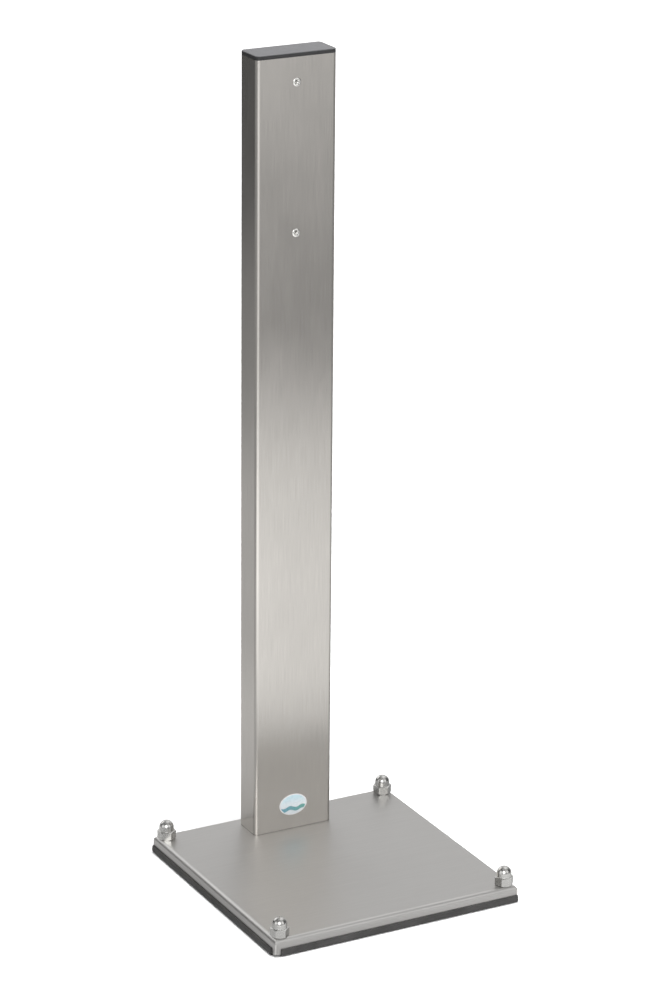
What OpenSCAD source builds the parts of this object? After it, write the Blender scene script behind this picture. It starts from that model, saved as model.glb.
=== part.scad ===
/* [Post] */
// Width of the post's front face
post_w = 100; // [80:5:120]
// Depth of the post, front to back
post_d = 40; // [40:5:60]
// Wall thickness of the post tube
post_wall = 2; // [1.5:0.5:3]
// Outside radius of the post tube's corners
post_corner_r = 4.5; // [4:0.5:6]
// Height of the whole stand, floor to the top of the cap
total_h = 950; // [700:10:1200]
// Gap between the tray's back face and the back of the post
post_setback = 15; // [12:1:40]

/* [Top cap] */
// Thickness of the cap's lip above the tube
cap_lip_h = 5; // [4:0.5:8]
// Depth of the cap's plug inside the tube
cap_plug_h = 24; // [18:1:30]
// Radius of the lip's rounded top edge
cap_edge_r = 0.8; // [0.4:0.2:1.6]
// Number of sealing ribs around the plug
cap_ribs = 3; // [2:1:4]

/* [Fixing points] */
// Distance from the top of the cap down to the upper rivet nut
upper_fix_drop = 33.5; // [31:0.5:60]
// Distance between the two rivet nuts
fix_pitch = 172; // [100:1:300]
// Radius of the rivet nut's threaded bore
fix_bore_r = 2.5; // [2:0.5:3]

/* [Base tray] */
// Side length of the square folded tray, over its flanges
tray_w = 310; // [280:5:400]
// Height of the tray's top face above the floor
tray_top = 20; // [20:1:30]
// Sheet thickness of the tray
sheet_t = 2; // [1.5:0.5:2.5]
// Outside radius of the tray's bends
bend_r = 5.5; // [3.5:0.5:5.5]
// Gap between neighbouring flanges at the tray's corners
seam_w = 0.3; // [0.2:0.1:0.5]
// Thickness of the ballast plate under the tray
ballast_t = 8; // [6:0.5:8]

/* [Edge trim] */
// Width of the rubber edge trim
trim_w = 6.5; // [6:0.5:8]
// Height of the rubber edge trim
trim_h = 9.5; // [8:0.5:9.5]
// Thickness of rubber under the flange's edge
trim_web = 2.3; // [2:0.1:3]
// Distance that a trim ends short of the tray's corner
trim_short = 7.5; // [5:0.5:15]

/* [Corner fasteners] */
// Distance from the tray's flanges to each cap nut's axis
nut_inset = 11.5; // [11:0.5:30]
// Width across flats of the cap nuts
nut_af = 19; // [17:1:19]
// Height of the hexagon of the cap nuts
nut_hex_h = 10; // [8:1:10]
// Height of the whole cap nut
nut_h = 22; // [20:1:24]
// Radius of the cap nut's dome
nut_dome_r = 8.5; // [7:0.5:8.5]

/* [Label] */
// Width of the oval label
label_w = 36; // [20:1:50]
// Height of the oval label
label_h = 26; // [14:1:34]
// Height of the label's centre above the tray
label_lift = 30.5; // [20:0.5:80]

/* [Hidden] */
SIDES = ["front", "back", "left", "right"];
CORNERS = ["front_left", "front_right", "back_left", "back_right"];

$fn = 64;
// Overshoot of a cutting tool past the face that it cuts
over = 1;
// Signs of X and Y at each corner, in the order of CORNERS
CORNER_SIGNS = [[-1, -1], [1, -1], [-1, 1], [1, 1]];
// Angle at which each cap nut came to rest when it was tightened
NUT_TURNS = [-21, -14, -26, -19];

STEEL = [0.70, 0.69, 0.67];
BRIGHT_STEEL = [0.82, 0.82, 0.80];
ZINC = [0.62, 0.64, 0.66];
BLACK_PLASTIC = [0.16, 0.16, 0.17];
RUBBER = [0.13, 0.13, 0.13];
LABEL_BLUE = [0.75, 0.90, 0.93];

// The post stands centred in X on the tray and close to its back edge
post_y = tray_w / 2 - post_setback - post_d / 2;
post_front_y = post_y - post_d / 2;
tube_top = total_h - cap_lip_h;
inner_w = post_w - 2 * post_wall;
inner_d = post_d - 2 * post_wall;
inner_corner_r = post_corner_r - post_wall;

// Top cap: the plug is slimmer than the tube's bore, and its ribs almost fill it
plug_gap = 1.6;
plug_wall = 2.4;
plug_corner_r = 1.5;
plug_hollow_r = 0.8;
rib_gap = 0.1;
rib_h = 1.2;

// Rivet nuts: flange, body, and the bulge that grips the wall from behind
fix_flange_r = 5;
fix_flange_t = 0.9;
fix_body_r = 3.45;
fix_hole_r = 3.5;
fix_length = 13;
fix_bulge_r = 4.8;
fix_bulge_t = 3;
fix_chamfer = 0.5;
upper_fix_z = total_h - upper_fix_drop;
lower_fix_z = upper_fix_z - fix_pitch;

// Tray and ballast
tray_h = tray_top - trim_web;
tray_underside = tray_top - sheet_t;
flange_corner_r = 2;
ballast_w = tray_w - 2 * bend_r;
ballast_bottom = tray_underside - ballast_t;
stud_hole_r = 6.5;

// Edge trims: each starts short of one corner, and all but the back one end flush at the next
trim_bottom_r = 2.4;
trim_lip_r = 0.8;
trim_centre = tray_w / 2 - sheet_t / 2;
trim_start = trim_short - tray_w / 2;
trim_lip_cut = sheet_t + 0.5;

// Corner studs, welded to the ballast and capped by the nuts
stud_r = 5.9;
stud_len = 16;
stud_chamfer = 0.8;
nut_bore_r = 6;
nut_bore_h = 16;
nut_pos = tray_w / 2 - nut_inset;
nut_chamfer_h = 1.2;
nut_face_r = nut_af / 2 - 0.3;
nut_edge_r = nut_face_r + nut_chamfer_h / tan(30);

// Foot plate in the end of the tube, and the screws that pull it down
foot_t = 8;
foot_chamfer = 3;
screw_r = 3.9;
tapped_r = 4;
clearance_r = 4.5;
screw_len = 20;
screw_head_af = 13;
screw_head_h = 5.3;
washer_r = 8;
washer_hole_r = 4.2;
washer_t = 1.6;
screw_dx = 32;
screw_dy = 9.5;

label_t = 0.2;
label_points = 72;
label_z = tray_top + label_lift;

// Centred rectangle with round corners
module rounded_rect(w, d, r) {
    square([w - 2 * r, d], center = true);
    square([w, d - 2 * r], center = true);
    for (x = [-1, 1], y = [-1, 1])
        translate([x * (w / 2 - r), y * (d / 2 - r)])
            circle(r);
}

// Centred rectangle with cut corners
module cut_rect(w, d, c) {
    x = w / 2;
    y = d / 2;
    polygon([[-x, c - y], [c - x, -y], [x - c, -y], [x, c - y],
             [x, y - c], [x - c, y], [c - x, y], [-x, y - c]]);
}

// Rounded slab whose top edge is rounded by radius e
module rounded_slab(w, d, h, r, e) {
    linear_extrude(h - e)
        rounded_rect(w, d, r);
    linear_extrude(h)
        rounded_rect(w - 2 * e, d - 2 * e, r - e);
    translate([0, 0, h - e]) {
        for (x = [-1, 1], y = [-1, 1])
            translate([x * (w / 2 - r), y * (d / 2 - r), 0])
                rotate_extrude()
                    translate([r - e, 0])
                        circle(e);
        for (y = [-1, 1])
            translate([0, y * (d / 2 - e), 0])
                rotate([0, 90, 0])
                    cylinder(r = e, h = w - 2 * r, center = true);
        for (x = [-1, 1])
            translate([x * (w / 2 - e), 0, 0])
                rotate([90, 0, 0])
                    cylinder(r = e, h = d - 2 * r, center = true);
    }
}

// Upright outline with its two top corners rounded; it starts at the given depth below zero
module arch(w, h, r, depth = 0) {
    translate([-w / 2, -depth])
        square([w, h - r + depth]);
    translate([r - w / 2, -depth])
        square([w - 2 * r, h + depth]);
    for (x = [-1, 1])
        translate([x * (w / 2 - r), h - r])
            circle(r);
}

// Square hood: an arch along each axis, mitred where the two meet
module hood(w, h, r, depth = 0) {
    intersection() {
        rotate([90, 0, 0])
            linear_extrude(w, center = true)
                arch(w, h, r, depth);
        rotate([90, 0, 90])
            linear_extrude(w, center = true)
                arch(w, h, r, depth);
    }
}

// Places its children at the tray's corners, where two flanges' lower edges meet
module at_tray_corner(i) {
    translate([CORNER_SIGNS[i][0] * tray_w / 2, CORNER_SIGNS[i][1] * tray_w / 2, trim_web])
        scale([-CORNER_SIGNS[i][0], -CORNER_SIGNS[i][1], 1])
            children();
}

// Seam beside a side flange, and the waste of that flange's rounded lower corner
module tray_seam() {
    translate([sheet_t, -over, -over])
        cube([seam_w, sheet_t + 2 * over, tray_h - bend_r + over]);
    translate([-over, 0, 0])
        rotate([90, 0, 90])
            linear_extrude(sheet_t + over + seam_w / 2)
                difference() {
                    translate([-over, -over])
                        square(flange_corner_r + over);
                    translate([flange_corner_r, flange_corner_r])
                        circle(flange_corner_r);
                }
}

// Places its children at the four post screws
module at_post_screw(i) {
    translate([CORNER_SIGNS[i][0] * screw_dx, post_y + CORNER_SIGNS[i][1] * screw_dy, 0])
        children();
}

// Places its children at the four cap nuts
module at_nut(i) {
    translate([CORNER_SIGNS[i][0] * nut_pos, CORNER_SIGNS[i][1] * nut_pos, 0])
        children();
}

// Turns a shape drawn along Z so that its Z = 0 plane is the post's front face and +Z points out of it
module on_post_front(z) {
    translate([0, post_front_y, z])
        rotate([90, 0, 0])
            children();
}

// Rectangular tube, with a round hole in its front wall for each rivet nut
module post_tube() {
    color(STEEL)
        difference() {
            translate([0, post_y, tray_top])
                linear_extrude(tube_top - tray_top)
                    difference() {
                        rounded_rect(post_w, post_d, post_corner_r);
                        rounded_rect(inner_w, inner_d, inner_corner_r);
                    }
            for (z = [lower_fix_z, upper_fix_z])
                on_post_front(z)
                    translate([0, 0, -post_wall - over])
                        cylinder(r = fix_hole_r, h = post_wall + 2 * over);
        }
}

// Moulded end cap: a lip as wide as the tube, and a hollow ribbed plug below it
module top_cap() {
    rib_step = cap_plug_h / (cap_ribs + 0.5);
    color(BLACK_PLASTIC)
        translate([0, post_y, tube_top]) {
            rounded_slab(post_w, post_d, cap_lip_h, post_corner_r, cap_edge_r);
            translate([0, 0, -cap_plug_h])
                difference() {
                    union() {
                        linear_extrude(cap_plug_h)
                            rounded_rect(inner_w - 2 * plug_gap, inner_d - 2 * plug_gap, plug_corner_r);
                        for (i = [0:cap_ribs - 1])
                            translate([0, 0, (i + 0.5) * rib_step])
                                linear_extrude(rib_h)
                                    rounded_rect(inner_w - 2 * rib_gap, inner_d - 2 * rib_gap, inner_corner_r);
                    }
                    translate([0, 0, -over])
                        linear_extrude(cap_plug_h + over)
                            rounded_rect(inner_w - 2 * (plug_gap + plug_wall),
                                         inner_d - 2 * (plug_gap + plug_wall), plug_hollow_r);
                }
        }
}

// Blind rivet nut after setting: flange outside, bulge behind the wall, thread right through
module rivet_nut(z) {
    color(BRIGHT_STEEL)
        on_post_front(z)
            difference() {
                union() {
                    cylinder(r = fix_flange_r, h = fix_flange_t);
                    translate([0, 0, -fix_length])
                        cylinder(r = fix_body_r, h = fix_length + fix_flange_t);
                    translate([0, 0, -post_wall - fix_bulge_t])
                        cylinder(r = fix_bulge_r, h = fix_bulge_t);
                }
                translate([0, 0, -fix_length - over])
                    cylinder(r = fix_bore_r, h = fix_length + fix_flange_t + 2 * over);
                translate([0, 0, fix_flange_t - fix_chamfer])
                    cylinder(r1 = fix_bore_r, r2 = fix_bore_r + 2 * fix_chamfer, h = 2 * fix_chamfer);
            }
}

// Thin oval sticker low on the post's front face
module oval_label() {
    color(LABEL_BLUE)
        on_post_front(label_z)
            linear_extrude(label_t)
                polygon([for (i = [0:label_points - 1])
                    let (a = 360 * i / label_points)
                    [label_w / 2 * cos(a), label_h / 2 * sin(a)]]);
}

// Plate welded into the foot of the tube, tapped for the post screws
module foot_plate() {
    color(ZINC)
        difference() {
            translate([0, post_y, tray_top])
                linear_extrude(foot_t)
                    cut_rect(inner_w, inner_d, foot_chamfer);
            for (i = [0:3])
                at_post_screw(i)
                    translate([0, 0, tray_top - over])
                        cylinder(r = tapped_r, h = foot_t + 2 * over);
        }
}

// Square sheet with its four edges bent down; its side flanges reach the corners
module base_tray() {
    color(STEEL)
        difference() {
            translate([0, 0, trim_web])
                difference() {
                    hood(tray_w, tray_h, bend_r);
                    hood(tray_w - 2 * sheet_t, tray_h - sheet_t, bend_r - sheet_t, over);
                }
            for (i = [0:3]) {
                at_tray_corner(i)
                    tray_seam();
                at_nut(i)
                    translate([0, 0, tray_underside - over])
                        cylinder(r = stud_hole_r, h = sheet_t + 2 * over);
                at_post_screw(i)
                    translate([0, 0, tray_underside - over])
                        cylinder(r = clearance_r, h = sheet_t + 2 * over);
            }
        }
}

// Heavy square plate that fills the tray and keeps the stand upright
module ballast_plate() {
    color(ZINC)
        difference() {
            translate([-ballast_w / 2, -ballast_w / 2, ballast_bottom])
                cube([ballast_w, ballast_w, ballast_t]);
            for (i = [0:3])
                at_post_screw(i)
                    translate([0, 0, ballast_bottom - over])
                        cylinder(r = clearance_r, h = ballast_t + 2 * over);
        }
}

// Outline of the rubber trim: a channel that grips the flange's edge
module trim_profile() {
    difference() {
        union() {
            translate([-trim_w / 2, trim_bottom_r])
                square([trim_w, trim_h - trim_bottom_r - trim_lip_r]);
            translate([trim_bottom_r - trim_w / 2, 0])
                square([trim_w - 2 * trim_bottom_r, trim_h - trim_lip_r]);
            translate([trim_lip_r - trim_w / 2, trim_bottom_r])
                square([trim_w - 2 * trim_lip_r, trim_h - trim_bottom_r]);
            for (x = [-1, 1]) {
                translate([x * (trim_w / 2 - trim_bottom_r), trim_bottom_r])
                    circle(trim_bottom_r);
                translate([x * (trim_w / 2 - trim_lip_r), trim_h - trim_lip_r])
                    circle(trim_lip_r);
            }
        }
        translate([-sheet_t / 2, trim_web])
            square([sheet_t, trim_h]);
    }
}

// Length of trim along Y whose inner lip, on the given side, clears the next flange at a flush end
module trim_bar(start, end, inner, flush = true) {
    color(RUBBER)
        difference() {
            translate([0, end, 0])
                rotate([90, 0, 0])
                    linear_extrude(end - start)
                        trim_profile();
            if (flush)
                translate([inner * trim_w / 2, end, trim_web + trim_h / 2])
                    cube([trim_w, 2 * trim_lip_cut, trim_h], center = true);
        }
}

module edge_trim(side) {
    if (side == "front")
        translate([0, -trim_centre, 0])
            rotate([0, 0, -90])
                trim_bar(trim_start, tray_w / 2, -1);
    if (side == "back")
        translate([0, trim_centre, 0])
            rotate([0, 0, 90])
                trim_bar(trim_start, -trim_start, 1, false);
    if (side == "left")
        translate([-trim_centre, 0, 0])
            trim_bar(trim_start, tray_w / 2, 1);
    if (side == "right")
        translate([trim_centre, 0, 0])
            trim_bar(trim_start, tray_w / 2, -1);
}

// Domed cap nut, with its hexagon's corners chamfered above and below
module cap_nut(i) {
    color(BRIGHT_STEEL)
        at_nut(i)
            translate([0, 0, tray_top])
                rotate([0, 0, NUT_TURNS[i]])
                    difference() {
                        union() {
                            intersection() {
                                cylinder(r = nut_af / sqrt(3), h = nut_hex_h, $fn = 6);
                                union() {
                                    cylinder(r1 = nut_face_r, r2 = nut_edge_r, h = nut_chamfer_h);
                                    translate([0, 0, nut_chamfer_h])
                                        cylinder(r = nut_edge_r, h = nut_hex_h - 2 * nut_chamfer_h);
                                    translate([0, 0, nut_hex_h - nut_chamfer_h])
                                        cylinder(r1 = nut_edge_r, r2 = nut_face_r, h = nut_chamfer_h);
                                }
                            }
                            cylinder(r = nut_dome_r, h = nut_h - nut_dome_r);
                            translate([0, 0, nut_h - nut_dome_r])
                                sphere(nut_dome_r);
                        }
                        translate([0, 0, -over])
                            cylinder(r = nut_bore_r, h = nut_bore_h + over);
                    }
}

// Threaded stud on the ballast plate, up through the tray into its cap nut
module corner_stud(i) {
    color(ZINC)
        at_nut(i)
            translate([0, 0, tray_underside]) {
                cylinder(r = stud_r, h = stud_len - stud_chamfer);
                translate([0, 0, stud_len - stud_chamfer])
                    cylinder(r1 = stud_r, r2 = stud_r - stud_chamfer, h = stud_chamfer);
            }
}

// Hexagon-head screw, up through ballast and tray into the foot plate
module post_screw(i) {
    color(ZINC)
        at_post_screw(i)
            translate([0, 0, ballast_bottom - washer_t]) {
                translate([0, 0, -screw_head_h])
                    cylinder(r = screw_head_af / sqrt(3), h = screw_head_h, $fn = 6);
                cylinder(r = screw_r, h = screw_len);
            }
}

// Flat washer between a post screw's head and the ballast plate
module post_washer(i) {
    color(BRIGHT_STEEL)
        at_post_screw(i)
            translate([0, 0, ballast_bottom - washer_t])
                difference() {
                    cylinder(r = washer_r, h = washer_t);
                    translate([0, 0, -over])
                        cylinder(r = washer_hole_r, h = washer_t + 2 * over);
                }
}

post_tube();
top_cap();
rivet_nut(upper_fix_z);  // upper_rivet_nut
rivet_nut(lower_fix_z);  // lower_rivet_nut
oval_label();
foot_plate();
base_tray();
ballast_plate();
for (s = SIDES)
    edge_trim(s);
for (i = [0:3]) {
    cap_nut(i);
    corner_stud(i);
    post_screw(i);
    post_washer(i);
}
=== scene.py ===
"""Looks of the free-standing mounting post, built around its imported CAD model.

The tube, the folded tray, the ballast plate and the foot plate keep their CAD meshes and get
procedural materials. The cap, the label, the rubber trims and every fastener are replaced by
finer meshes.
All lengths are in metres, in the CAD frame.
"""
import math

import bmesh
import bpy
from mathutils import Matrix, Vector


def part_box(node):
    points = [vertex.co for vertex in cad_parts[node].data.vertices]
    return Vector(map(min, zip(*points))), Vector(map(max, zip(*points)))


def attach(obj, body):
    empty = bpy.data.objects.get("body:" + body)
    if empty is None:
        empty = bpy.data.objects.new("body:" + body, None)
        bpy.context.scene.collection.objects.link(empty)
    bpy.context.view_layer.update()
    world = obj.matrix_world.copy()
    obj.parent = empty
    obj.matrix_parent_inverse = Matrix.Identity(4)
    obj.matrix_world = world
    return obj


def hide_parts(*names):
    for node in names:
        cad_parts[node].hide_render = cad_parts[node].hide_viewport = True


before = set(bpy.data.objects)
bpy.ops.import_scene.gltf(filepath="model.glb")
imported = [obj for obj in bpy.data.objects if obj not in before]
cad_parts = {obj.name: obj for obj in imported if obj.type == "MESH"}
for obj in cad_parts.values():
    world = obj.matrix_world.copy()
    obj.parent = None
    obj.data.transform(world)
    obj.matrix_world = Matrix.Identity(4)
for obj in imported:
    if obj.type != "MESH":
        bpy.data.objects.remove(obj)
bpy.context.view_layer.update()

MM = 0.001
CORNERS = ("front_left", "front_right", "back_left", "back_right")
SIDES = ("front", "back", "left", "right")

POST_LOW, POST_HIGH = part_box("post_tube")
POST_MIDDLE = (POST_LOW + POST_HIGH) / 2


# ---------------------------------------------------------------- node and face helpers


def math_node(tree, operation, first, second=None):
    """Adds one Math node; first and second are sockets or numbers."""
    node = tree.nodes.new("ShaderNodeMath")
    node.operation = operation
    for socket, value in zip(node.inputs, (first, second)):
        if isinstance(value, bpy.types.NodeSocket):
            tree.links.new(value, socket)
        elif value is not None:
            socket.default_value = value
    return node.outputs[0]


def fade(tree, value, near, far, at_near, at_far):
    """Smooth change from at_near to at_far while value goes from near to far."""
    node = tree.nodes.new("ShaderNodeMapRange")
    node.interpolation_type = "SMOOTHSTEP"
    tree.links.new(value, node.inputs["Value"])
    node.inputs["From Min"].default_value = near
    node.inputs["From Max"].default_value = far
    node.inputs["To Min"].default_value = at_near
    node.inputs["To Max"].default_value = at_far
    return node.outputs["Result"]


def beyond(tree, value, limit):
    """1 where value is past the limit on either side of zero, and 0 elsewhere."""
    return math_node(tree, "GREATER_THAN", math_node(tree, "ABSOLUTE", value), limit)


def distance_from(tree, point):
    """Distance of the shaded point from a fixed point."""
    position = tree.nodes.new("ShaderNodeNewGeometry").outputs["Position"]
    node = tree.nodes.new("ShaderNodeVectorMath")
    node.operation = "DISTANCE"
    tree.links.new(position, node.inputs[0])
    node.inputs[1].default_value = point
    return node.outputs["Value"]


def band_faces(rings, count, closed):
    """Four-sided faces between rings of count points; closed joins the last ring to the first."""
    faces = []
    for j in range(rings if closed else rings - 1):
        low = j * count
        high = (j + 1) % rings * count
        for i in range(count):
            after = (i + 1) % count
            faces.append((low + i, low + after, high + after, high + i))
    return faces


# ---------------------------------------------------------------- camera and studio

CAMERA_AZIMUTH = math.radians(-28.27)
CAMERA_ELEVATION = math.radians(17.61)
CAMERA_ROLL = math.radians(0.5)
CAMERA_DISTANCE = 4.2257
CAMERA_LENS = 133.17
CAMERA_SHIFT = -0.12
# Where the lens points, from the middle of the tube
AIM_OFFSET = Vector((0.059, 0.0, 0.0756))

# The floors lie this far under the trims, so that no faces coincide
FLOOR_LEVEL = -0.0003
FLOOR_HALF = 30.0
PAPER_SHADE = 0.93
# The paper glows more and more between these distances from the post
GLOW_START = 1.0
GLOW_FULL = 4.0
FAR_GLOW = 0.9

WORLD_LIGHT = 0.3
BACKDROP_GLOW = 1.0
FLOOR_GLOW = 0.33
DOME_GLOW = 0.12
TENT_RADIUS = 9.0
TENT_RINGS = 24
TENT_SIDES = 64


def make_camera():
    """Long lens at the height of a standing person, a little to the left of the post."""
    data = bpy.data.cameras.new("camera")
    data.lens = CAMERA_LENS
    data.shift_y = CAMERA_SHIFT
    data.clip_end = 100.0
    camera = bpy.data.objects.new("camera", data)
    bpy.context.scene.collection.objects.link(camera)
    back = Vector((
        math.sin(CAMERA_AZIMUTH) * math.cos(CAMERA_ELEVATION),
        -math.cos(CAMERA_AZIMUTH) * math.cos(CAMERA_ELEVATION),
        math.sin(CAMERA_ELEVATION),
    ))
    turn = (-back).to_track_quat("-Z", "Y").to_matrix().to_4x4()
    place = Matrix.Translation(POST_MIDDLE + AIM_OFFSET + back * CAMERA_DISTANCE)
    camera.matrix_world = place @ turn @ Matrix.Rotation(CAMERA_ROLL, 4, "Z")
    bpy.context.scene.camera = camera


def stage_mesh(name, vertices, faces, material):
    """A mesh that isn't part of the object."""
    mesh = bpy.data.meshes.new(name)
    mesh.from_pydata(vertices, [], faces)
    mesh.materials.append(material)
    obj = bpy.data.objects.new(name, mesh)
    bpy.context.scene.collection.objects.link(obj)
    return obj


def square(half, z):
    """Corners of a level square round the origin."""
    return [(-half, -half, z), (half, -half, z), (half, half, z), (-half, half, z)]


def show_only_to(obj, *rays):
    """Hides a stage object from every kind of ray but these."""
    for kind in ("camera", "diffuse", "glossy", "transmission", "volume_scatter", "shadow"):
        setattr(obj, "visible_" + kind, kind in rays)


def make_floor():
    """Pale paper floor, lit up away from the post. Reflections see the tent's floor instead."""
    material = bpy.data.materials.new("paper")
    material.use_nodes = True
    tree = material.node_tree
    shader = tree.nodes["Principled BSDF"]
    shader.inputs["Base Color"].default_value = (PAPER_SHADE, PAPER_SHADE, PAPER_SHADE, 1)
    shader.inputs["Roughness"].default_value = 0.9
    shader.inputs["Specular IOR Level"].default_value = 0.0
    shader.inputs["Emission Color"].default_value = (1, 1, 1, 1)
    far_glow = fade(tree, distance_from(tree, (0, 0, 0)), GLOW_START, GLOW_FULL, 0.0, FAR_GLOW)
    tree.links.new(far_glow, shader.inputs["Emission Strength"])
    floor = stage_mesh("floor", square(FLOOR_HALF, FLOOR_LEVEL), [(0, 1, 2, 3)], material)
    floor.visible_glossy = False


def glow_material(name, base, pools):
    """Emission of strength base, with soft round pools added; a negative pool is a dark one."""
    material = bpy.data.materials.new(name)
    material.use_nodes = True
    tree = material.node_tree
    tree.nodes.clear()
    emission = tree.nodes.new("ShaderNodeEmission")
    emission.inputs["Strength"].default_value = base
    total = base
    for centre, inner, outer, strength in pools:
        pool = fade(tree, distance_from(tree, centre), inner, outer, strength, 0.0)
        total = math_node(tree, "ADD", pool, total)
    if pools:
        tree.links.new(total, emission.inputs["Strength"])
    output = tree.nodes.new("ShaderNodeOutputMaterial")
    tree.links.new(emission.outputs["Emission"], output.inputs["Surface"])
    return material


def tent_point(azimuth, elevation):
    """Point on the tent in a direction given in degrees; azimuth is measured as the camera's is."""
    a = math.radians(azimuth)
    e = math.radians(elevation)
    return (
        TENT_RADIUS * math.sin(a) * math.cos(e),
        -TENT_RADIUS * math.cos(a) * math.cos(e),
        TENT_RADIUS * math.sin(e),
    )


def floor_pools():
    """Light and dark patches on the tent's floor: (centre, inner radius, outer radius, strength)."""
    return (
        ((0.45, -0.85, 0.0), 0.2, 1.1, 0.56),
        ((-0.45, -0.85, 0.0), 0.2, 1.0, 0.9),
        ((-0.75, -1.4, 0.0), 0.4, 1.2, 0.3),
        ((-1.4, -2.6, 0.0), 0.6, 1.6, 0.3),
        ((-2.4, -4.4, 0.0), 1.0, 2.6, 0.6),
        ((0.0, -3.5, 0.0), 1.0, 2.6, 0.6),
        ((3.3, -6.2, 0.0), 1.2, 3.0, 0.9),
        ((1.25, -2.3, 0.0), 0.4, 1.3, -0.3),
        ((0.2, -0.32, 0.0), 0.05, 0.3, 0.2),
        ((-0.24, 0.32, 0.0), 0.1, 0.45, 0.17),
        ((-0.5, 0.9, 0.0), 0.3, 1.0, 0.25),
        ((-2.2, 4.0, 0.0), 1.0, 2.8, -0.25),
    )


def dome_panels():
    """Softboxes and flags of the tent, in the same form, by their direction from the post."""
    return (
        (tent_point(-30, 32), 1.5, 4.5, 2.6),
        (tent_point(-40, 30), 0.8, 2.5, 1.4),
        (tent_point(28, 25), 1.5, 4.0, 0.95),
        (tent_point(28, 48), 1.5, 4.0, 0.4),
        (tent_point(-90, 20), 2.0, 4.5, 1.0),
        (tent_point(-153, 24), 1.4, 3.8, 0.4),
        (tent_point(-150, 5), 1.0, 3.2, -0.35),
        (tent_point(152, 18), 4.5, 8.0, 0.55),
        (tent_point(-164, 30), 1.4, 3.4, 0.8),
        (tent_point(107, 60), 2.0, 5.0, 0.7),
        (tent_point(152, 88), 2.5, 5.5, 0.3),
    )


def make_tent():
    """Lit floor and dim dome that only reflections see, and a white dome that only the camera sees."""
    floor_glow = glow_material("tent_floor_glow", FLOOR_GLOW, floor_pools())
    card = stage_mesh("tent_floor", square(TENT_RADIUS, FLOOR_LEVEL), [(0, 1, 2, 3)], floor_glow)
    show_only_to(card, "glossy")
    dome_glow = glow_material("tent_dome_glow", DOME_GLOW, dome_panels())
    points = [
        tent_point(360 * i / TENT_SIDES, 90 * j / TENT_RINGS)
        for j in range(TENT_RINGS)
        for i in range(TENT_SIDES)
    ]
    faces = band_faces(TENT_RINGS, TENT_SIDES, closed=False)
    faces.append(tuple(range((TENT_RINGS - 1) * TENT_SIDES, TENT_RINGS * TENT_SIDES)))
    dome = stage_mesh("tent_dome", points, faces, dome_glow)
    show_only_to(dome, "glossy")
    white = glow_material("backdrop_white", BACKDROP_GLOW, ())
    backdrop = stage_mesh("backdrop", points, faces, white)
    show_only_to(backdrop, "camera", "transmission", "volume_scatter")


def make_softbox(name, azimuth, elevation, distance, side, power):
    """Square area light aimed at the post. Mirrors don't see it: they have the tent."""
    data = bpy.data.lights.new(name, "AREA")
    data.shape = "SQUARE"
    data.size = side
    data.energy = power
    light = bpy.data.objects.new(name, data)
    bpy.context.scene.collection.objects.link(light)
    away = Vector(tent_point(azimuth, elevation)).normalized()
    turn = away.to_track_quat("Z", "Y").to_matrix().to_4x4()
    light.matrix_world = Matrix.Translation(POST_MIDDLE + away * distance) @ turn
    light.visible_camera = False
    light.visible_glossy = False


def make_world():
    """Even white light from all round."""
    world = bpy.data.worlds.new("studio")
    world.use_nodes = True
    background = world.node_tree.nodes["Background"]
    background.inputs["Color"].default_value = (1, 1, 1, 1)
    background.inputs["Strength"].default_value = WORLD_LIGHT
    bpy.context.scene.world = world
    bpy.context.scene.view_settings.view_transform = "Standard"


# ---------------------------------------------------------------- materials

# Most values of a noise texture lie between these
NOISE_LOW = 0.3
NOISE_HIGH = 0.7


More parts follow.
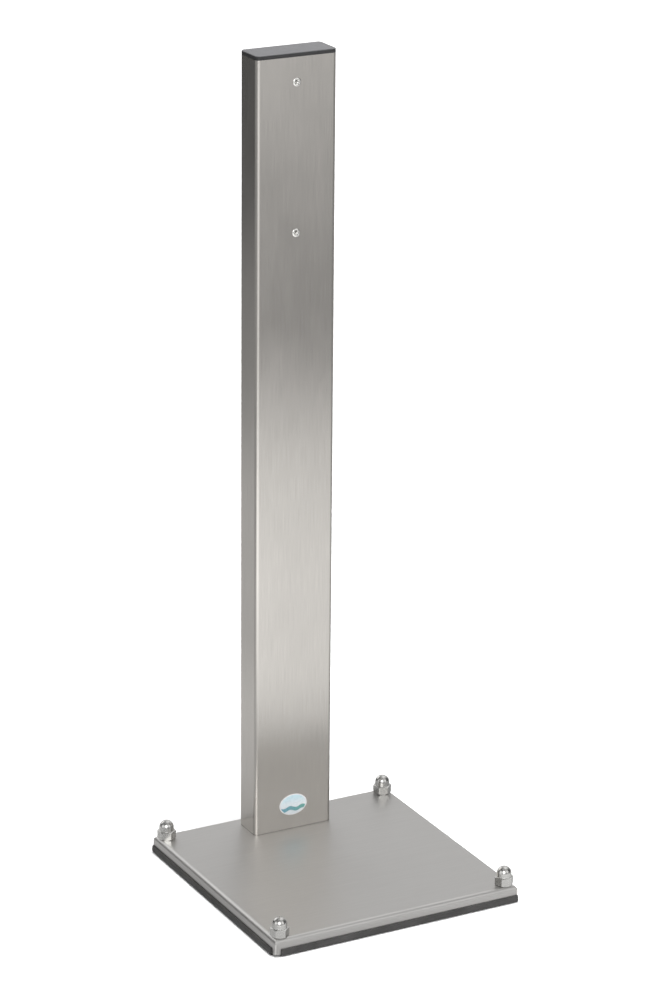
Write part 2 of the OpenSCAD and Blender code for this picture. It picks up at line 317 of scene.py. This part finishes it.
class Finish:
    """One node material under construction, with the object's own coordinates in metres."""

    def __init__(self, name, color, roughness, metallic=0.0):
        self.material = bpy.data.materials.new(name)
        self.material.use_nodes = True
        self.tree = self.material.node_tree
        self.shader = self.tree.nodes["Principled BSDF"]
        self.coordinates = self.tree.nodes.new("ShaderNodeTexCoord").outputs["Object"]
        self.color = color
        self.roughness = roughness
        self.set(Metallic=metallic)
        self.shader.inputs["Base Color"].default_value = (*color, 1)
        self.shader.inputs["Roughness"].default_value = roughness

    def set(self, **values):
        """Sets uniform sockets of the shader; an underscore in a name stands for a space."""
        for name, value in values.items():
            self.shader.inputs[name.replace("_", " ")].default_value = value

    def noise(self, per_metre, detail=2.0):
        """Noise from 0 to 1 with that many features per metre along X, Y and Z."""
        mapping = self.tree.nodes.new("ShaderNodeMapping")
        mapping.inputs["Scale"].default_value = per_metre
        self.tree.links.new(self.coordinates, mapping.inputs["Vector"])
        node = self.tree.nodes.new("ShaderNodeTexNoise")
        node.inputs["Scale"].default_value = 1.0
        node.inputs["Detail"].default_value = detail
        self.tree.links.new(mapping.outputs["Vector"], node.inputs["Vector"])
        return node.outputs["Fac"]

    def axes(self):
        """The coordinates along X, Y and Z."""
        node = self.tree.nodes.new("ShaderNodeSeparateXYZ")
        self.tree.links.new(self.coordinates, node.inputs["Vector"])
        return node.outputs

    def add(self, first, second):
        """Sum of two sockets, or of a socket and a number."""
        return math_node(self.tree, "ADD", first, second)

    def times(self, first, second):
        """Product of two sockets, or of a socket and a number."""
        return math_node(self.tree, "MULTIPLY", first, second)

    def spread(self, value, low, high):
        """Maps the usual span of a noise to low..high."""
        node = self.tree.nodes.new("ShaderNodeMapRange")
        self.tree.links.new(value, node.inputs["Value"])
        node.inputs["From Min"].default_value = NOISE_LOW
        node.inputs["From Max"].default_value = NOISE_HIGH
        node.inputs["To Min"].default_value = low
        node.inputs["To Max"].default_value = high
        return node.outputs["Result"]

    def vary_color(self, value):
        """Multiplies the colour by a socket's value."""
        node = self.tree.nodes.new("ShaderNodeVectorMath")
        node.operation = "SCALE"
        node.inputs[0].default_value = self.color
        self.tree.links.new(value, node.inputs["Scale"])
        self.tree.links.new(node.outputs["Vector"], self.shader.inputs["Base Color"])

    def vary_roughness(self, value):
        """Adds a socket's value to the roughness."""
        self.tree.links.new(self.add(value, self.roughness), self.shader.inputs["Roughness"])

    def bump(self, height, depth):
        """Surface relief from a 0 to 1 height, depth metres deep."""
        node = self.tree.nodes.new("ShaderNodeBump")
        node.inputs["Strength"].default_value = 1.0
        node.inputs["Distance"].default_value = depth
        self.tree.links.new(height, node.inputs["Height"])
        self.tree.links.new(node.outputs["Normal"], self.shader.inputs["Normal"])

    def grain(self, axis, anisotropy):
        """Stretches the highlights across a grain; axis is the one that the tangent turns round."""
        node = self.tree.nodes.new("ShaderNodeTangent")
        node.direction_type = "RADIAL"
        node.axis = axis
        self.tree.links.new(node.outputs["Tangent"], self.shader.inputs["Tangent"])
        self.set(Anisotropic=anisotropy)


# Depth of the relief on ground and turned metal
RELIEF = 2e-6


def brushed_stainless():
    """Stainless tube with an upright brushed grain, and a painted shade line where it meets the tray.
    """
    finish = Finish("brushed_stainless", (0.64, 0.615, 0.58), 0.24, metallic=1.0)
    finish.grain("Z", 0.9)
    fine = finish.noise((2600, 2600, 26), detail=3.0)
    broad = finish.noise((330, 330, 7))
    smudges = finish.noise((24, 24, 12), detail=4.0)
    streaks = finish.add(finish.spread(fine, -0.06, 0.06), finish.spread(broad, -0.008, 0.008))
    streaks = finish.add(streaks, finish.spread(smudges, -0.03, 0.03))
    # Painted contact shade: the colour darkens in a thin band just above the tube's foot, where it
    # stands on the tray
    painted_shade_low = POST_LOW.z + 0.4 * MM
    painted_shade_high = POST_LOW.z + 1.4 * MM
    painted_contact_shade = fade(finish.tree, finish.axes()["Z"], painted_shade_low, painted_shade_high, 0.62, 1.0)
    finish.vary_color(finish.times(finish.add(streaks, 1.0), painted_contact_shade))
    rub = finish.add(finish.spread(broad, -0.004, 0.004), finish.spread(smudges, -0.012, 0.016))
    finish.vary_roughness(rub)
    finish.bump(fine, RELIEF)
    return finish.material


def tray_stainless():
    """Stainless sheet with a softer grain than the tube's, and sawn edges that are rougher and carry a
    painted highlight that makes them paler.
    """
    finish = Finish("tray_stainless", (0.63, 0.62, 0.605), 0.39, metallic=1.0)
    finish.grain("Y", 0.25)
    axes = finish.axes()
    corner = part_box("base_tray")[1]
    sheet_and_more = 2.1 * MM
    face_only = 0.05 * MM
    at_side = beyond(finish.tree, axes["X"], corner.x - sheet_and_more)
    at_end = beyond(finish.tree, axes["Y"], corner.y - face_only)
    # The sawn edges are rougher, and get a painted highlight: their colour is raised by 0.4
    sawn_edge_and_highlight = finish.times(at_side, at_end)
    fine = finish.noise((30, 2200, 2200), detail=3.0)
    broad = finish.noise((4, 260, 260))
    smudges = finish.noise((11, 11, 11))
    streaks = finish.add(finish.spread(fine, -0.03, 0.03), finish.spread(broad, -0.012, 0.012))
    finish.vary_color(finish.add(finish.add(streaks, 1.0), finish.times(sawn_edge_and_highlight, 0.4)))
    finish.vary_roughness(finish.add(finish.spread(smudges, -0.02, 0.03), finish.times(sawn_edge_and_highlight, 0.2)))
    finish.bump(fine, RELIEF)
    return finish.material


def bright_stainless():
    """Smooth turned stainless of the nuts and washers; the rivet nuts, high up, get a painted highlight
    that makes them whiter.
    """
    finish = Finish("bright_stainless", (0.68, 0.675, 0.655), 0.25, metallic=1.0)
    marks = finish.noise((900, 900, 900), detail=3.0)
    above_tray, below_rivets = 0.3, 0.5
    # Painted highlight: the same stainless is made whiter by height alone, so the rivet nuts on the
    # tube come out brighter than the nuts
    painted_highlight_high_up = fade(finish.tree, finish.axes()["Z"], above_tray, below_rivets, 1.0, 1.4)
    finish.vary_color(finish.times(finish.spread(marks, 0.96, 1.03), painted_highlight_high_up))
    finish.vary_roughness(finish.spread(marks, -0.03, 0.04))
    finish.bump(marks, RELIEF)
    return finish.material


def zinc_steel():
    """Zinc-plated steel with a cloudy sheen."""
    finish = Finish("zinc_steel", (0.55, 0.57, 0.60), 0.38, metallic=1.0)
    clouds = finish.noise((60, 60, 60), detail=6.0)
    finish.vary_color(finish.spread(clouds, 0.88, 1.08))
    finish.vary_roughness(finish.spread(clouds, -0.06, 0.08))
    finish.bump(finish.noise((700, 700, 700)), 8e-6)
    return finish.material


def black_plastic():
    """Moulded plastic with a fine spark-eroded texture, and painted light on its top face and top edge.
    """
    finish = Finish("black_plastic", (0.022, 0.022, 0.023), 0.4)
    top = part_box("top_cap")[1].z
    # Painted light: the colour is raised up to four times on the top face and its rounded edge, where
    # the light from above falls
    painted_light_low = top - 1.3 * MM
    painted_light_high = top - 0.2 * MM
    dust_and_painted_light = fade(finish.tree, finish.axes()["Z"], painted_light_low, painted_light_high, 1.0, 4.0)
    sparks = finish.noise((1500, 1500, 1500), detail=1.0)
    finish.vary_color(finish.times(finish.spread(sparks, 0.85, 1.15), dust_and_painted_light))
    finish.vary_roughness(finish.spread(finish.noise((40, 40, 40)), -0.03, 0.05))
    finish.bump(sparks, 2e-5)
    return finish.material


def black_rubber():
    """Extruded rubber, matt, with a finely pitted skin and uneven dust."""
    finish = Finish("black_rubber", (0.042, 0.041, 0.040), 0.55)
    pits = finish.noise((900, 900, 900), detail=3.0)
    # On the rubber this noise is uneven dust, in random lighter and darker patches
    dust_and_painted_light = finish.noise((50, 50, 50), detail=4.0)
    finish.vary_color(finish.spread(dust_and_painted_light, 0.8, 1.25))
    finish.vary_roughness(finish.spread(dust_and_painted_light, -0.05, 0.06))
    finish.bump(pits, 1.5e-5)
    return finish.material


def mixed(tree, factor, first, second):
    """Colour between two colours, each a socket or three numbers."""
    node = tree.nodes.new("ShaderNodeMix")
    node.data_type = "RGBA"
    tree.links.new(factor, node.inputs["Factor"])
    for name, value in (("A", first), ("B", second)):
        socket = [i for i in node.inputs if i.name == name and i.type == "RGBA"][0]
        if isinstance(value, bpy.types.NodeSocket):
            tree.links.new(value, socket)
        else:
            socket.default_value = (*value, 1)
    return [o for o in node.outputs if o.type == "RGBA"][0]


SKY_LOW = (0.78, 0.83, 0.86)
SKY_HIGH = (0.55, 0.74, 0.81)
WATER_LEFT = (0.16, 0.38, 0.47)
WATER_RIGHT = (0.15, 0.40, 0.37)
RIM_WHITE = (0.80, 0.81, 0.82)
WAVES = 7.0
WAVE_HEIGHT = 0.09
# Where the band and the rim fade in and out, in shares of the oval
BAND_TOP = (-0.24, -0.18)
BAND_FOOT = (-0.62, -0.54)
RIM = (0.80, 0.86)


def label_film():
    """Printed film: a white rim, a pale sky and one plain wavy band."""
    low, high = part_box("oval_label")
    middle = (low + high) / 2
    finish = Finish("label_film", (0.8, 0.86, 0.88), 0.28)
    finish.set(Coat_Weight=0.5, Coat_Roughness=0.08)
    tree = finish.tree
    axes = finish.axes()
    # Both run from -1 to 1 over the oval
    across = math_node(tree, "DIVIDE", axes["X"], (high.x - low.x) / 2)
    above_middle = math_node(tree, "SUBTRACT", axes["Z"], middle.z)
    up = math_node(tree, "DIVIDE", above_middle, (high.z - low.z) / 2)
    swell = finish.times(math_node(tree, "SINE", finish.times(across, WAVES)), WAVE_HEIGHT)
    wave = finish.add(up, swell)
    sky = mixed(tree, fade(tree, up, -0.2, 0.9, 0.0, 1.0), SKY_LOW, SKY_HIGH)
    water = mixed(tree, fade(tree, across, -0.8, 0.8, 0.0, 1.0), WATER_LEFT, WATER_RIGHT)
    below_top = fade(tree, wave, *BAND_TOP, 1.0, 0.0)
    above_foot = fade(tree, wave, *BAND_FOOT, 0.0, 1.0)
    picture = mixed(tree, finish.times(below_top, above_foot), sky, water)
    off_middle = finish.add(finish.times(across, across), finish.times(up, up))
    rim = fade(tree, off_middle, *RIM, 0.0, 1.0)
    tree.links.new(mixed(tree, rim, picture, RIM_WHITE), finish.shader.inputs["Base Color"])
    finish.vary_roughness(finish.spread(finish.noise((300, 300, 300)), -0.03, 0.03))
    return finish.material


MATERIALS = {
    "brushed_stainless": brushed_stainless(),
    "tray_stainless": tray_stainless(),
    "bright_stainless": bright_stainless(),
    "zinc_steel": zinc_steel(),
    "black_plastic": black_plastic(),
    "black_rubber": black_rubber(),
    "label_film": label_film(),
}


# ---------------------------------------------------------------- mesh building

RING_SIDES = 48
SMOOTH_ANGLE = math.radians(32)
# Stands a shape that was built along Z out of the front of the tube
OUT_OF_FRONT = Matrix.Rotation(math.radians(90), 4, "X")


def upright(low, high):
    """Puts a shape that was built up from the origin where a CAD box is."""
    return Matrix.Translation(((low.x + high.x) / 2, (low.y + high.y) / 2, low.z))


def even_angles(sides=RING_SIDES):
    """Angles of equal steps round a full turn."""
    return [2 * math.pi * i / sides for i in range(sides)]


def circle(radius, height, angles):
    """Level ring of points at the given angles."""
    return [(radius * math.cos(a), radius * math.sin(a), height) for a in angles]


def arc(centre, radius, start, stop, steps):
    """Points on an arc, first and last included; the angles are in degrees."""
    angles = [math.radians(start + (stop - start) * i / steps) for i in range(steps + 1)]
    return [(centre[0] + radius * math.cos(a), centre[1] + radius * math.sin(a)) for a in angles]


def turned(profile, angles):
    """Rings of a turned shape whose profile is a list of (radius, height)."""
    return [circle(radius, height, angles) for radius, height in profile]


def rounded_rectangle(width, depth, radius, height):
    """Level ring round a rectangle with round corners, centred on the origin."""
    corners = ((1, 1, 0), (-1, 1, 90), (-1, -1, 180), (1, -1, 270))
    ring = []
    for x, y, start in corners:
        centre = (x * (width / 2 - radius), y * (depth / 2 - radius))
        ring += arc(centre, radius, start, start + 90, 8)
    return [(x, y, height) for x, y in ring]


def skin(name, rings, slot_name, place, nodes, closed=False):
    """Covers a stack of rings with faces and makes the piece that stands for the CAD nodes.

    A closed stack joins its last ring to its first; an open one is capped at both ends.
    """
    count = len(rings[0])
    vertices = [place @ Vector(point) for ring in rings for point in ring]
    faces = band_faces(len(rings), count, closed)
    if not closed:
        faces.append(tuple(reversed(range(count))))
        faces.append(tuple(range((len(rings) - 1) * count, len(rings) * count)))
    mesh = bpy.data.meshes.new(name)
    mesh.from_pydata(vertices, [], faces)
    shape = bmesh.new()
    shape.from_mesh(mesh)
    bmesh.ops.recalc_face_normals(shape, faces=shape.faces)
    shape.to_mesh(mesh)
    shape.free()
    mesh.shade_smooth()
    mesh.set_sharp_from_angle(angle=SMOOTH_ANGLE)
    mesh.materials.append(MATERIALS[slot_name])
    piece = bpy.data.objects.new(name, mesh)
    bpy.context.scene.collection.objects.link(piece)
    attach(piece, "root")
    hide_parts(*nodes)
    return piece


# Rings in one turn of a thread, and a tooth whose cut-off peak leaves flat crests and roots
THREAD_STEPS = 6
TOOTH_PEAK = 1.4
TOOTH_SLOPE = 2.8


def thread_rings(crest, root, pitch, low, high, angles):
    """Rings of a right-hand thread between two heights; its phase depends only on height and angle."""
    rings = []
    steps = round(THREAD_STEPS * (high - low) / pitch)
    for j in range(steps + 1):
        z = low + (high - low) * j / steps
        ring = []
        for a in angles:
            turn = (z / pitch - a / (2 * math.pi)) % 1.0
            tooth = min(1.0, max(0.0, TOOTH_PEAK - TOOTH_SLOPE * abs(turn - 0.5)))
            radius = root + (crest - root) * tooth
            ring.append((radius * math.cos(a), radius * math.sin(a), z))
        rings.append(ring)
    return rings


HALF_SIDE = math.radians(30)
CHAMFER = math.radians(30)


def hexagon_angles():
    """Angles round a hexagon, close together at its six rounded corners."""
    corner = (-1.3, -0.65, 0.0, 0.65, 1.3)
    flat = (6, 12, 18, 24, 30, 36, 42, 48, 54)
    return [math.radians(60 * k + step) for k in range(6) for step in corner + flat]


def hexagon_radius(angle, across_flats, corner_radius):
    """Distance from the middle to a hexagon's side; its corners point to 0, 60, 120 degrees."""
    off = math.radians(abs((math.degrees(angle) + 30) % 60 - 30))
    centre = (across_flats / 2 - corner_radius) / math.cos(HALF_SIDE)
    if math.sin(off) < corner_radius / 2 / (centre + corner_radius):
        return centre * math.cos(off) + math.sqrt(corner_radius ** 2 - (centre * math.sin(off)) ** 2)
    return across_flats / 2 / math.cos(HALF_SIDE - off)


def hexagon_ring(angles, across_flats, corner_radius, face_radius, face_height, away):
    """Where a 30 degree chamfer, which starts from a round face, runs into the hexagon's sides."""
    ring = []
    for a in angles:
        radius = hexagon_radius(a, across_flats, corner_radius)
        drop = max(0.0, radius - face_radius) * math.tan(CHAMFER)
        ring.append((radius * math.cos(a), radius * math.sin(a), face_height + away * drop))
    return ring


# ---------------------------------------------------------------- fasteners

# M12 cap nuts on weld studs. Crests, roots, faces, necks and bodies here and below are radii.
NUT_FLATS = 19 * MM
NUT_FACE = 9.2 * MM
NUT_HEX_HEIGHT = 10 * MM
NUT_NECK = 8.5 * MM
NUT_FILLET = 0.6 * MM
NUT_CORNER = 0.5 * MM
NUT_MOUTH = 6.6 * MM
NUT_THREAD = (1 * MM, 15 * MM)
NUT_BORE_TOP = 16 * MM
NUT_BORE_CENTRE = 1 * MM
NUT_TURNS = (-21, -14, -26, -19)
STUD_CREST = 5.9 * MM
STUD_ROOT = 5.1 * MM
STUD_PITCH = 1.75 * MM
STUD_WELD = 6.3 * MM
STUD_WELD_HEIGHT = 0.4 * MM
STUD_PLAIN = 1 * MM
STUD_POINT = 0.3 * MM
THREAD_GAP = 0.1 * MM


def make_cap_nut(corner, degrees):
    """Domed nut: hexagon with both faces chamfered, filleted neck, dome, and a tapped blind bore."""
    low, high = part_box("cap_nut_" + corner)
    height = high.z - low.z
    bore = STUD_ROOT + THREAD_GAP
    angles = hexagon_angles()
    dome = arc((0, height - NUT_NECK), NUT_NECK, 0, 88, 14)
    fillet = arc((NUT_NECK + NUT_FILLET, NUT_HEX_HEIGHT + NUT_FILLET), NUT_FILLET, 270, 180, 4)
    rings = turned([(NUT_BORE_CENTRE, NUT_BORE_TOP), (bore, NUT_BORE_TOP)], angles)
    rings += reversed(thread_rings(STUD_CREST + THREAD_GAP, bore, STUD_PITCH, *NUT_THREAD, angles))
    rings += turned([(NUT_MOUTH, 0), (NUT_FACE, 0)], angles)
    rings.append(hexagon_ring(angles, NUT_FLATS, NUT_CORNER, NUT_FACE, 0, 1))
    rings.append(hexagon_ring(angles, NUT_FLATS, NUT_CORNER, NUT_FACE, NUT_HEX_HEIGHT, -1))
    rings += turned([(NUT_FACE, NUT_HEX_HEIGHT)] + fillet + dome, angles)
    place = upright(low, high) @ Matrix.Rotation(math.radians(degrees), 4, "Z")
    skin("domed_nut_" + corner, rings, "bright_stainless", place, ["cap_nut_" + corner])


def make_stud(corner):
    """Threaded weld stud under a cap nut."""
    low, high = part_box("corner_stud_" + corner)
    height = high.z - low.z
    angles = even_angles()
    rings = turned([(STUD_WELD, 0), (STUD_CREST, STUD_WELD_HEIGHT)], angles)
    rings += thread_rings(STUD_CREST, STUD_ROOT, STUD_PITCH, STUD_PLAIN, height - STUD_PLAIN, angles)
    rings += turned([(STUD_ROOT - STUD_POINT, height)], angles)
    skin("weld_stud_" + corner, rings, "zinc_steel", upright(low, high), ["corner_stud_" + corner])


# M8 screws and washers
SCREW_FLATS = 13 * MM
SCREW_FACE = 6.1 * MM
SCREW_CREST = 3.9 * MM
SCREW_ROOT = 3.3 * MM
SCREW_PITCH = 1.25 * MM
SCREW_HEAD = 5.3 * MM
SCREW_FILLET = 0.3 * MM
SCREW_PLAIN = 1.5 * MM
SCREW_POINT = 0.2 * MM
SCREW_POINT_LENGTH = 0.7 * MM
WASHER_HOLE = 4.2 * MM
WASHER_EDGE = 0.3 * MM


def make_post_screw(corner):
    """Hexagon screw, head down, threaded almost to its head."""
    low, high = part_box("post_screw_" + corner)
    length = high.z - low.z
    angles = hexagon_angles()
    rings = turned([(SCREW_FACE, 0)], angles)
    rings.append(hexagon_ring(angles, SCREW_FLATS, NUT_CORNER, SCREW_FACE, 0, 1))
    # A face wider than the corners leaves the underside of the head without a chamfer
    rings.append(hexagon_ring(angles, SCREW_FLATS, NUT_CORNER, SCREW_FLATS, SCREW_HEAD, 1))
    rings += turned([(SCREW_CREST + SCREW_FILLET, SCREW_HEAD)], angles)
    rings += turned([(SCREW_CREST, SCREW_HEAD + SCREW_FILLET)], angles)
    thread = (SCREW_HEAD + SCREW_PLAIN, length - SCREW_POINT_LENGTH)
    rings += thread_rings(SCREW_CREST, SCREW_ROOT, SCREW_PITCH, *thread, angles)
    rings += turned([(SCREW_ROOT - SCREW_POINT, length)], angles)
    skin("foot_screw_" + corner, rings, "zinc_steel", upright(low, high), ["post_screw_" + corner])


def make_post_washer(corner):
    """Stamped washer, rounded on one side where the punch went in."""
    low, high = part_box("post_washer_" + corner)
    height = high.z - low.z
    outer = (high.x - low.x) / 2
    profile = [(WASHER_HOLE, WASHER_EDGE), (WASHER_HOLE + WASHER_EDGE, 0)]
    profile += arc((outer - WASHER_EDGE, WASHER_EDGE), WASHER_EDGE, 270, 360, 4)
    profile += [(outer, height), (WASHER_HOLE, height)]
    rings = turned(profile, even_angles())
    skin("foot_washer_" + corner, rings, "bright_stainless", upright(low, high),
         ["post_washer_" + corner], closed=True)


# M5 blind rivet nuts, set in the tube's wall
RIVET_FLANGE = 5 * MM
RIVET_CROWN = 3.3 * MM
RIVET_BODY = 3.45 * MM
RIVET_BULGE = 4.8 * MM
RIVET_BULGE_ROUND = 1.2 * MM
RIVET_BULGE_LENGTH = 3 * MM
RIVET_EDGE = 0.3 * MM
RIVET_MOUTH = 0.5 * MM
RIVET_FLANGE_EDGE = 0.1 * MM
RIVET_THREAD_CREST = 2.1 * MM
RIVET_THREAD_ROOT = 2.5 * MM
RIVET_THREAD_BACK = 0.6 * MM
RIVET_THREAD_FRONT = 0.9 * MM
RIVET_PITCH = 0.8 * MM
WALL = 2 * MM


def make_rivet_nut(node, name):
    """Set blind rivet nut: round flange outside, bulge behind the wall, thread right through."""
    low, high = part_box(node)
    proud = POST_LOW.y - low.y
    back = POST_LOW.y - high.y
    angles = even_angles()
    mouth = [(RIVET_THREAD_ROOT + RIVET_MOUTH, proud), (RIVET_THREAD_ROOT, proud - RIVET_MOUTH)]
    rings = turned(mouth, angles)
    thread = (back + RIVET_THREAD_BACK, proud - RIVET_THREAD_FRONT)
    rings += reversed(thread_rings(RIVET_THREAD_ROOT, RIVET_THREAD_CREST, RIVET_PITCH, *thread, angles))
    outside = [(RIVET_THREAD_ROOT + RIVET_EDGE, back), (RIVET_BODY - RIVET_EDGE, back)]
    outside += [(RIVET_BODY, back + RIVET_EDGE), (RIVET_BODY, -WALL - RIVET_BULGE_LENGTH)]
    bulge = (RIVET_BULGE - RIVET_BULGE_ROUND, -WALL - RIVET_BULGE_LENGTH / 2)
    outside += arc(bulge, RIVET_BULGE_ROUND, -80, 80, 8)
    outside += [(RIVET_BODY, -WALL), (RIVET_BODY, 0), (RIVET_FLANGE - RIVET_FLANGE_EDGE, 0)]
    crown = arc((0, 0), 1, 10, 90, 8)
    outside += [(RIVET_CROWN + (RIVET_FLANGE - RIVET_CROWN) * x, proud * y) for x, y in crown]
    rings += turned(outside, angles)
    place = Matrix.Translation((POST_MIDDLE.x, POST_LOW.y, (low.z + high.z) / 2))
    skin(name, rings, "bright_stainless", place @ OUT_OF_FRONT, [node], closed=True)


# ---------------------------------------------------------------- edge trims

# Section of the trim: half widths, and heights above its underside
TRIM_HALF = 3.25 * MM
TRIM_HEIGHT = 8.7 * MM
TRIM_FLOOR = 2.3 * MM
TRIM_GRIP = 1.15 * MM
TRIM_FIN = 1.02 * MM
TRIM_FINS = (3.4 * MM, 5.2 * MM, 7.0 * MM)
TRIM_FIN_TIP = 0.3 * MM
TRIM_FIN_TOP = 0.5 * MM
TRIM_LIP = 0.6 * MM
TRIM_FOOT = 2.8 * MM
TRIM_FLANK_STEPS = 8
TRIM_NOTCH = 2.5 * MM
TRIM_NOTCH_STEP = 0.1 * MM
TRIM_SOFT = 0.3 * MM


def trim_half_outline():
    """Half of the trim's section: up the slot with its fins, over the lip, down to the web's middle."""
    points = [(TRIM_GRIP, TRIM_FLOOR)]
    for z in TRIM_FINS:
        points += [(TRIM_GRIP, z), (TRIM_FIN, z + TRIM_FIN_TIP), (TRIM_GRIP, z + TRIM_FIN_TOP)]
    points += arc((TRIM_GRIP + TRIM_LIP, TRIM_HEIGHT - TRIM_LIP), TRIM_LIP, 180, 40, 7)
    shoulder, top = points[-1]
    for i in range(1, TRIM_FLANK_STEPS):
        share = i / TRIM_FLANK_STEPS
        across = shoulder + (TRIM_HALF - shoulder) * math.sin(math.pi / 2 * share)
        points.append((across, top + (TRIM_FOOT - top) * share))
    points += arc((TRIM_HALF - TRIM_FOOT, TRIM_FOOT), TRIM_FOOT, 0, -90, 8)
    return points


def cut_inner_lip(outline):
    """Lays the points of the inner lip in an even row on the web instead."""
    cut = [i for i, (across, z) in enumerate(outline) if across < 0 and z > TRIM_FLOOR]
    edge = outline[cut[0] - 1][0]
    for count, i in enumerate(cut, start=1):
        share = count / (len(cut) + 1)
        outline[i] = (edge + (-TRIM_GRIP - edge) * share, TRIM_FLOOR)


def trim_ring(along, notched, inset):
    """Section at one place along the trim; a notched one has no inner lip, an inset one is slimmer."""
    half = trim_half_outline()
    outline = half + [(-across, z) for across, z in reversed(half)]
    if notched:
        cut_inner_lip(outline)
    slimmer = 1 - inset / (TRIM_HALF - TRIM_GRIP)
    ring = []
    for across, z in outline:
        wall = abs(across) - TRIM_GRIP
        if wall > 0:
            across = math.copysign(TRIM_GRIP + wall * slimmer, across)
        ring.append((across, along, min(max(z, inset), TRIM_HEIGHT - inset)))
    return ring


def make_trim(side):
    """Extruded rubber channel on one flange; at a flush end its inner lip is cut away."""
    low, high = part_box("edge_trim_" + side)
    runs_x = side in ("front", "back")
    outward = -1 if side in ("front", "left") else 1
    start, end = (low.x, high.x) if runs_x else (low.y, high.y)
    rings = [trim_ring(start, False, TRIM_SOFT), trim_ring(start + TRIM_SOFT, False, 0)]
    if side == "back":
        rings += [trim_ring(end - TRIM_SOFT, False, 0), trim_ring(end, False, TRIM_SOFT)]
    else:
        notch = end - TRIM_NOTCH
        rings += [trim_ring(notch - TRIM_NOTCH_STEP, False, 0), trim_ring(notch, True, 0)]
        rings += [trim_ring(end - TRIM_SOFT, True, 0), trim_ring(end, True, TRIM_SOFT)]
    middle = (low + high) / 2
    if runs_x:
        place = Matrix(((0, 1, 0, 0), (outward, 0, 0, middle.y), (0, 0, 1, low.z), (0, 0, 0, 1)))
    else:
        place = Matrix(((outward, 0, 0, middle.x), (0, 1, 0, 0), (0, 0, 1, low.z), (0, 0, 0, 1)))
    skin("rubber_trim_" + side, rings, "black_rubber", place, ["edge_trim_" + side])


# ---------------------------------------------------------------- cap and label

# Width, depth and corner radius of each outline
CAP_PLUG = (92.8 * MM, 32.8 * MM, 1.5 * MM)
CAP_RIB = (95.8 * MM, 35.8 * MM, 2.5 * MM)
CAP_HOLLOW = (88 * MM, 28 * MM, 0.8 * MM)
CAP_RIB_HEIGHT = 1.2 * MM
CAP_RIBS = 3
CAP_RIB_FLAT = (0.4 * CAP_RIB_HEIGHT, 0.6 * CAP_RIB_HEIGHT)
CAP_LEAD_IN = 0.4 * MM
CAP_LEAD_HEIGHT = 0.6 * MM
CAP_SEAT_EDGE = 0.25 * MM
CAP_EDGE = 1.2 * MM
CORNER = 4.5 * MM


def shrunk(width, depth, radius, inset, height):
    """Rounded rectangle whose outline lies inset inside the given one."""
    return rounded_rectangle(width - 2 * inset, depth - 2 * inset, radius - inset, height)


def make_cap():
    """Moulded end cap: soft-edged lip over the tube, hollow plug with three sealing ribs inside it."""
    low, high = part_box("top_cap")
    lip = high.z - POST_HIGH.z
    plug = POST_HIGH.z - low.z
    width = POST_HIGH.x - POST_LOW.x
    depth = POST_HIGH.y - POST_LOW.y
    step = plug / (CAP_RIBS + 0.5)
    rings = [rounded_rectangle(*CAP_HOLLOW, 0), rounded_rectangle(*CAP_HOLLOW, -plug)]
    rings += [shrunk(*CAP_PLUG, CAP_LEAD_IN, -plug)]
    rings += [rounded_rectangle(*CAP_PLUG, -plug + CAP_LEAD_HEIGHT)]
    for i in range(CAP_RIBS):
        rib = -plug + (i + 0.5) * step
        rings += [rounded_rectangle(*CAP_PLUG, rib)]
        rings += [rounded_rectangle(*CAP_RIB, rib + height) for height in CAP_RIB_FLAT]
        rings += [rounded_rectangle(*CAP_PLUG, rib + CAP_RIB_HEIGHT)]
    rings += [rounded_rectangle(*CAP_PLUG, 0)]
    rings += [shrunk(width, depth, CORNER, CAP_SEAT_EDGE, 0)]
    rings += [shrunk(width, depth, CORNER, 0, CAP_SEAT_EDGE)]
    for inset, height in arc((CAP_EDGE, lip - CAP_EDGE), CAP_EDGE, 180, 90, 6):
        rings.append(shrunk(width, depth, CORNER, inset, height))
    place = Matrix.Translation((POST_MIDDLE.x, POST_MIDDLE.y, POST_HIGH.z))
    skin("end_cap", rings, "black_plastic", place, ["top_cap"])


LABEL_SIDES = 96
# Rings of the sticker, from its back: share of its outline, and share of its thickness
LABEL_RINGS = ((1.0, 0.0), (1.0, 0.5), (0.996, 0.85), (0.985, 1.0))


def make_label():
    """Oval sticker with a thin soft edge."""
    low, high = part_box("oval_label")
    half_width = (high.x - low.x) / 2
    half_height = (high.z - low.z) / 2
    thickness = high.y - low.y
    rings = [
        [(half_width * share * math.cos(a), half_height * share * math.sin(a), thickness * level)
         for a in even_angles(LABEL_SIDES)]
        for share, level in LABEL_RINGS
    ]
    place = Matrix.Translation(((low.x + high.x) / 2, high.y, (low.z + high.z) / 2))
    skin("oval_sticker", rings, "label_film", place @ OUT_OF_FRONT, ["oval_label"])


def dress_cad_nodes():
    """Gives each CAD node the finish of its material slot."""
    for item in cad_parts.values():
        slot_name = item.material_slots[0].material.name.split(".")[0]
        item.material_slots[0].material = MATERIALS[slot_name]


make_camera()
make_world()
make_floor()
make_tent()
make_softbox("key_softbox", azimuth=30, elevation=35, distance=3.2, side=1.6, power=70)
make_softbox("top_softbox", azimuth=0, elevation=88, distance=3.0, side=2.0, power=140)
dress_cad_nodes()
for corner, degrees in zip(CORNERS, NUT_TURNS):
    make_cap_nut(corner, degrees)
    make_stud(corner)
    make_post_screw(corner)
    make_post_washer(corner)
make_rivet_nut("upper_rivet_nut", "blind_nut_upper")
make_rivet_nut("lower_rivet_nut", "blind_nut_lower")
for side in SIDES:
    make_trim(side)
make_cap()
make_label()
